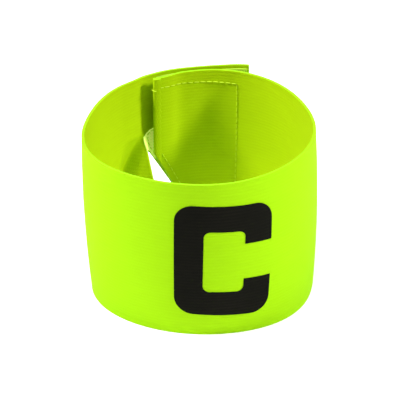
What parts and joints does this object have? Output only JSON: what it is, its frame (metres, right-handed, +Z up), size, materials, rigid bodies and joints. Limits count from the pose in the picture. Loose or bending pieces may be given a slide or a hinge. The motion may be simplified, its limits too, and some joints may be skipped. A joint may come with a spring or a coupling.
{
  "type": "captain armband",
  "caption": "Elastic captain's armband closed at the back with hook and loop tape, with a plain black block letter on the front, standing on its lower edge.",
  "frame": {"origin": "middle of the outline, on the surface that the armband stands on", "axes": "+Z up, from the lower edge to the upper edge; +Y towards the closure at the back; -Y is the front with the mark; +X to the right as seen from the front"},
  "size_m": [0.089, 0.0992, 0.065],
  "materials": {
    "elastic": "matte ribbed weave",
    "loop": "matte brushed nap",
    "hook": "satin nylon rows",
    "film": "matte film"
  },
  "bodies": {
    "root": {"band": "elastic", "loop_tape": "loop", "hook_tape": "hook", "captain_mark": "film"}
  },
  "joints": []
}
